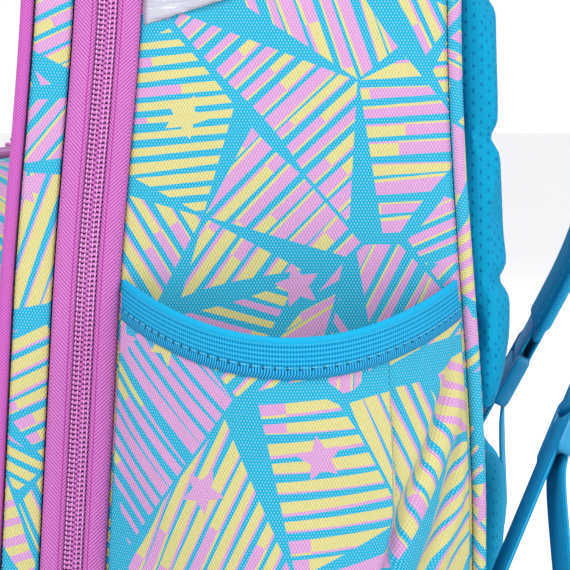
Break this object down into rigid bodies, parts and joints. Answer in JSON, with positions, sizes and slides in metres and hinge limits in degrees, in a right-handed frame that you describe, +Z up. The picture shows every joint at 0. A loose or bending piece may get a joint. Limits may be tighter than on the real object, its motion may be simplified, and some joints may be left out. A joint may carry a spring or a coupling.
{
  "type": "school backpack",
  "caption": "Upright zipped school backpack with a fold-down front, front pocket, two open bottle pockets, padded back, shoulder straps and a moulded base.",
  "frame": {"origin": "centre of the bounding box in plan, at the ground under the feet", "axes": "+Z up, the front of the bag towards -Y, the wearer's back towards +Y"},
  "size_m": [0.3788, 0.3102, 0.455],
  "materials": {
    "printed_fabric": "woven polyester with a coated back and an all-over print of cyan, pink and yellow striped shards",
    "spacer_mesh": "knitted spacer mesh over foam, matte",
    "strap_mesh": "spacer mesh and bound edges over foam, matte",
    "cyan_webbing": "ribbed polyester webbing and binding, slight sheen",
    "zip_tape_and_coil": "twill zip tape with a nylon coil, pink",
    "zip_slider": "pink lacquered zinc",
    "pull_tab": "soft moulded plastic",
    "reflective_tape": "retroreflective tape, silver",
    "moulded_tray": "moulded EVA, fine grain",
    "rubber_foot": "matte",
    "stiffener_board": "polyethylene board",
    "buckle_plastic": "acetal, satin",
    "lining": "plain woven lining over foam"
  },
  "bodies": {
    "pack": {"top_panel": "printed_fabric", "back_piping": "printed_fabric", "right_side_panel": "printed_fabric", "left_side_panel": "printed_fabric", "right_side_pocket": "printed_fabric", "left_side_pocket": "printed_fabric", "back_panel": "spacer_mesh", "back_pad_right": "spacer_mesh", "back_pad_left": "spacer_mesh", "back_pad_lumbar": "spacer_mesh", "strap_yoke": "strap_mesh", "handle_anchor_left": "cyan_webbing", "handle_anchor_right": "cyan_webbing", "right_wing_tab": "cyan_webbing", "right_pocket_binding": "cyan_webbing", "left_wing_tab": "cyan_webbing", "left_pocket_binding": "cyan_webbing", "main_zip_rear_half": "zip_tape_and_coil", "right_reflective_strip": "reflective_tape", "left_reflective_strip": "reflective_tape", "base_tray": "moulded_tray", "foot_front_left": "rubber_foot", "foot_front_right": "rubber_foot", "foot_rear_left": "rubber_foot", "foot_rear_right": "rubber_foot", "back_stiffener": "stiffener_board", "base_board": "stiffener_board", "padded_divider": "lining"},
    "cover": {"main_zip_front_half": "zip_tape_and_coil", "cover_side_band": "printed_fabric", "cover_front_panel": "printed_fabric", "cover_piping": "zip_tape_and_coil", "front_reflective_strip": "reflective_tape", "front_pocket_frame": "printed_fabric", "front_pocket_floor": "printed_fabric", "front_pocket_lower_panel": "printed_fabric", "pocket_zip_rear_half": "zip_tape_and_coil"},
    "pocket_lid": {"pocket_zip_front_half": "zip_tape_and_coil", "pocket_lid_band": "printed_fabric", "pocket_lid_panel": "printed_fabric", "pocket_lid_piping": "cyan_webbing"},
    "main_left_slider": {"main_left_slider": "zip_slider"},
    "main_left_pull": {"main_left_pull_tab": "pull_tab"},
    "main_right_slider": {"main_right_slider": "zip_slider"},
    "main_right_pull": {"main_right_pull_tab": "pull_tab"},
    "pocket_slider": {"pocket_slider": "zip_slider"},
    "pocket_pull": {"pocket_pull_tab": "pull_tab"},
    "grab_handle": {"grab_handle": "cyan_webbing"},
    "right_strap": {"right_shoulder_strap": "strap_mesh", "right_strap_webbing": "cyan_webbing", "right_ladder_lock": "buckle_plastic"},
    "right_tail": {"right_webbing_tail": "cyan_webbing"},
    "left_strap": {"left_shoulder_strap": "strap_mesh", "left_strap_webbing": "cyan_webbing", "left_ladder_lock": "buckle_plastic"},
    "left_tail": {"left_webbing_tail": "cyan_webbing"}
  },
  "joints": [
    {"name": "cover_hinge", "type": "hinge", "parent": "pack", "child": "cover", "pos_m": [0, -0.11871, 0.03622], "axis": [1, 0, 0], "range_deg": [0, 60]},
    {"name": "pocket_lid_hinge", "type": "hinge", "parent": "cover", "child": "pocket_lid", "pos_m": [0, -0.15208, 0.15027], "axis": [1, 0, 0], "range_deg": [0, 60]},
    {"name": "main_left_slide", "type": "slide", "parent": "pack", "child": "main_left_slider", "axis": [-1, 0, 0], "range_m": [0, 0.055]},
    {"name": "main_left_pull_hinge", "type": "hinge", "parent": "main_left_slider", "child": "main_left_pull", "pos_m": [-0.011, -0.0659, 0.40515], "axis": [0, 0.9984, -0.0559], "range_deg": [0, 85]},
    {"name": "main_right_slide", "type": "slide", "parent": "pack", "child": "main_right_slider", "axis": [1, 0, 0], "range_m": [0, 0.055]},
    {"name": "main_right_pull_hinge", "type": "hinge", "parent": "main_right_slider", "child": "main_right_pull", "pos_m": [0.011, -0.0659, 0.40515], "axis": [0, -0.9984, 0.0559], "range_deg": [0, 85]},
    {"name": "pocket_slide", "type": "slide", "parent": "cover", "child": "pocket_slider", "axis": [1, 0, 0], "range_m": [0, 0.112]},
    {"name": "pocket_pull_hinge", "type": "hinge", "parent": "pocket_slider", "child": "pocket_pull", "pos_m": [-0.056, -0.12947, 0.23033], "axis": [0, 0.9984, -0.0559], "range_deg": [0, 85]},
    {"name": "grab_handle_hinge", "type": "hinge", "parent": "pack", "child": "grab_handle", "pos_m": [0, 0.04913, 0.40465], "axis": [1, 0, 0], "range_deg": [-60, 70]},
    {"name": "right_strap_swing", "type": "hinge", "parent": "pack", "child": "right_strap", "pos_m": [0.0421, 0.07253, 0.3717], "axis": [-0.2445, -0.0053, 0.9696], "range_deg": [-12, 12]},
    {"name": "right_tail_swing", "type": "hinge", "parent": "right_strap", "child": "right_tail", "pos_m": [0.10145, 0.10023, 0.11135], "axis": [0.9462, 0.1384, 0.2926], "range_deg": [-15, 40]},
    {"name": "left_strap_swing", "type": "hinge", "parent": "pack", "child": "left_strap", "pos_m": [-0.0421, 0.07253, 0.3717], "axis": [0.2445, -0.0053, 0.9696], "range_deg": [-12, 12]},
    {"name": "left_tail_swing", "type": "hinge", "parent": "left_strap", "child": "left_tail", "pos_m": [-0.10145, 0.10023, 0.11135], "axis": [0.9462, -0.1384, -0.2926], "range_deg": [-15, 40]}
  ]
}
